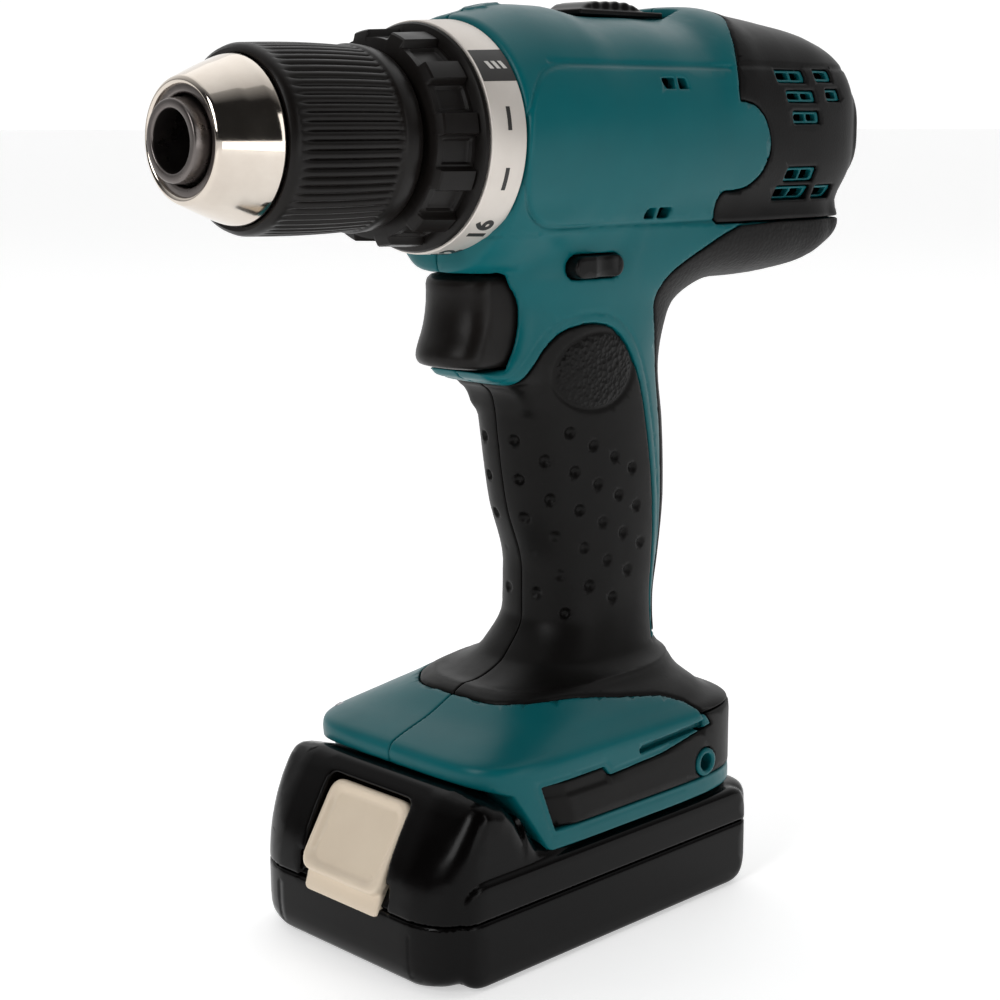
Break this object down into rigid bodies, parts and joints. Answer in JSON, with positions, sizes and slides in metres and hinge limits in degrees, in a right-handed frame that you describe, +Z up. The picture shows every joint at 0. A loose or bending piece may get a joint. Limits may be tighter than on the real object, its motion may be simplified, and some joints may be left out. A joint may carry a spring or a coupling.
{
  "type": "cordless drill driver",
  "caption": "Pistol-grip cordless drill driver with keyless chuck, torque ring, two-speed gearbox, trigger, reverse lever and slide-on battery base.",
  "frame": {"origin": "centre of the flat underside of the battery, which stands on the bench", "axes": "+Z up, chuck pointing along -X, motor end along +X, the left side of the tool facing -Y; the housing halves meet at y = 0"},
  "size_m": [0.2143, 0.075, 0.2318],
  "materials": {
    "teal_plastic": "lightly textured moulded plastic, semi gloss",
    "black_plastic": "satin moulded plastic",
    "soft_rubber": "matte soft overmould with fine grain",
    "battery_plastic": "satin to glossy moulded plastic",
    "beige_plastic": "satin beige plastic",
    "grey_plastic": "glass filled nylon",
    "cell_wrap": "shrink wrapped steel can",
    "circuit_board": "lacquered board",
    "chrome": "warm nickel chrome, polished",
    "dark_steel": "black phosphated steel",
    "steel": "ground steel",
    "silver_paint": "satin silver with black marks",
    "copper": "laminations and lacquered copper wire"
  },
  "bodies": {
    "housing": {"housing_left": "teal_plastic", "housing_right": "teal_plastic", "rear_cover": "black_plastic", "grip_left": "soft_rubber", "grip_right": "soft_rubber", "backstrap_left": "soft_rubber", "backstrap_right": "soft_rubber", "foot_pad_left": "soft_rubber", "foot_pad_right": "soft_rubber", "gear_case": "grey_plastic", "ring_gear_1": "steel", "motor_can": "dark_steel", "brush_ring": "grey_plastic", "trigger_switch": "grey_plastic", "terminal_block": "grey_plastic", "spindle_bearing": "steel", "rear_bearing": "steel", "housing_screw_1": "steel", "housing_screw_2": "steel", "housing_screw_3": "steel", "housing_screw_4": "steel", "housing_screw_5": "steel", "cover_screw_1": "steel", "cover_screw_2": "steel", "clutch_spring": "steel", "trigger_spring": "steel"},
    "battery": {"battery_case_upper": "battery_plastic", "battery_case_lower": "battery_plastic", "cell_1": "cell_wrap", "cell_2": "cell_wrap", "cell_3": "cell_wrap", "cell_4": "cell_wrap", "cell_5": "cell_wrap", "battery_pcb": "circuit_board", "latch_spring": "steel"},
    "battery_button": {"battery_button": "beige_plastic"},
    "spindle": {"spindle": "steel", "chuck_body": "dark_steel", "chuck_screw": "dark_steel"},
    "sleeve": {"chuck_sleeve": "black_plastic", "sleeve_nose": "chrome", "jaw_nut": "steel"},
    "jaw_1": {"chuck_jaw_1": "dark_steel"},
    "jaw_2": {"chuck_jaw_2": "dark_steel"},
    "jaw_3": {"chuck_jaw_3": "dark_steel"},
    "torque_ring": {"torque_ring": "black_plastic", "scale_band": "silver_paint"},
    "carrier_1": {"carrier_1": "steel"},
    "rotor": {"armature": "copper", "motor_fan": "black_plastic"},
    "ring_gear_2": {"ring_gear_2": "steel"},
    "speed_selector": {"speed_selector": "black_plastic"},
    "trigger": {"trigger": "black_plastic"},
    "reverse_lever": {"reverse_lever": "black_plastic"},
    "planet_1a": {"planet_1a": "steel"},
    "planet_1b": {"planet_1b": "steel"},
    "planet_1c": {"planet_1c": "steel"},
    "planet_2a": {"planet_2a": "steel"},
    "planet_2b": {"planet_2b": "steel"},
    "planet_2c": {"planet_2c": "steel"}
  },
  "joints": [
    {"name": "spindle_spin", "type": "hinge", "parent": "housing", "child": "spindle", "pos_m": [-0.05, 0, 0.198], "axis": [1, 0, 0], "continuous": true},
    {"name": "sleeve_turn", "type": "hinge", "parent": "spindle", "child": "sleeve", "pos_m": [-0.065, 0, 0.198], "axis": [1, 0, 0], "range_deg": [0, 2160]},
    {"name": "jaw_slide_1", "type": "slide", "parent": "spindle", "child": "jaw_1", "axis": [-0.9613, 0, -0.2756], "range_m": [0, 0.0206]},
    {"name": "jaw_slide_2", "type": "slide", "parent": "spindle", "child": "jaw_2", "axis": [-0.9613, 0.2387, 0.1378], "range_m": [0, 0.0206]},
    {"name": "jaw_slide_3", "type": "slide", "parent": "spindle", "child": "jaw_3", "axis": [-0.9613, -0.2387, 0.1378], "range_m": [0, 0.0206]},
    {"name": "torque_turn", "type": "hinge", "parent": "housing", "child": "torque_ring", "pos_m": [-0.033, 0, 0.198], "axis": [1, 0, 0], "range_deg": [-40, 280]},
    {"name": "carrier_spin", "type": "hinge", "parent": "housing", "child": "carrier_1", "pos_m": [0, 0, 0.198], "axis": [1, 0, 0], "continuous": true},
    {"name": "rotor_spin", "type": "hinge", "parent": "housing", "child": "rotor", "pos_m": [0.05, 0, 0.198], "axis": [1, 0, 0], "continuous": true},
    {"name": "planet_1a_spin", "type": "hinge", "parent": "carrier_1", "child": "planet_1a", "pos_m": [0.0067, 0.0126, 0.198], "axis": [1, 0, 0], "continuous": true},
    {"name": "planet_1b_spin", "type": "hinge", "parent": "carrier_1", "child": "planet_1b", "pos_m": [0.0067, -0.0063, 0.20891], "axis": [1, 0, 0], "continuous": true},
    {"name": "planet_1c_spin", "type": "hinge", "parent": "carrier_1", "child": "planet_1c", "pos_m": [0.0067, -0.0063, 0.18709], "axis": [1, 0, 0], "continuous": true},
    {"name": "planet_2a_spin", "type": "hinge", "parent": "spindle", "child": "planet_2a", "pos_m": [-0.0095, 0.0126, 0.198], "axis": [1, 0, 0], "continuous": true},
    {"name": "planet_2b_spin", "type": "hinge", "parent": "spindle", "child": "planet_2b", "pos_m": [-0.0095, -0.0063, 0.20891], "axis": [1, 0, 0], "continuous": true},
    {"name": "planet_2c_spin", "type": "hinge", "parent": "spindle", "child": "planet_2c", "pos_m": [-0.0095, -0.0063, 0.18709], "axis": [1, 0, 0], "continuous": true},
    {"name": "speed_select", "type": "slide", "parent": "housing", "child": "speed_selector", "axis": [-1, 0, 0], "range_m": [0, 0.006]},
    {"name": "ring_shift", "type": "slide", "parent": "housing", "child": "ring_gear_2", "axis": [-1, 0, 0], "range_m": [0, 0.003]},
    {"name": "trigger_pull", "type": "slide", "parent": "housing", "child": "trigger", "axis": [1, 0, 0], "range_m": [0, 0.006], "stiffness_N_per_m": 600, "springref_m": -0.003},
    {"name": "reverse_push", "type": "slide", "parent": "housing", "child": "reverse_lever", "axis": [0, 1, 0], "range_m": [-0.0035, 0.0035]},
    {"name": "battery_slide", "type": "slide", "parent": "housing", "child": "battery", "axis": [-1, 0, 0], "range_m": [0, 0.085]},
    {"name": "button_press", "type": "slide", "parent": "battery", "child": "battery_button", "axis": [-0.4356, 0, -0.9002], "range_m": [0, 0.005], "stiffness_N_per_m": 600, "springref_m": -0.003}
  ],
  "couplings": [
    {"joint": "carrier_spin", "follows": "spindle_spin", "ratio": 4},
    {"joint": "rotor_spin", "follows": "spindle_spin", "ratio": 16},
    {"joint": "planet_1a_spin", "follows": "spindle_spin", "ratio": -12},
    {"joint": "planet_2a_spin", "follows": "spindle_spin", "ratio": -3},
    {"joint": "planet_1b_spin", "follows": "spindle_spin", "ratio": -12},
    {"joint": "planet_2b_spin", "follows": "spindle_spin", "ratio": -3},
    {"joint": "planet_1c_spin", "follows": "spindle_spin", "ratio": -12},
    {"joint": "planet_2c_spin", "follows": "spindle_spin", "ratio": -3},
    {"joint": "jaw_slide_1", "follows": "sleeve_turn", "m_per_rad": 0.00054643},
    {"joint": "jaw_slide_2", "follows": "sleeve_turn", "m_per_rad": 0.00054643},
    {"joint": "jaw_slide_3", "follows": "sleeve_turn", "m_per_rad": 0.00054643},
    {"joint": "ring_shift", "follows": "speed_select", "ratio": 0.5}
  ]
}
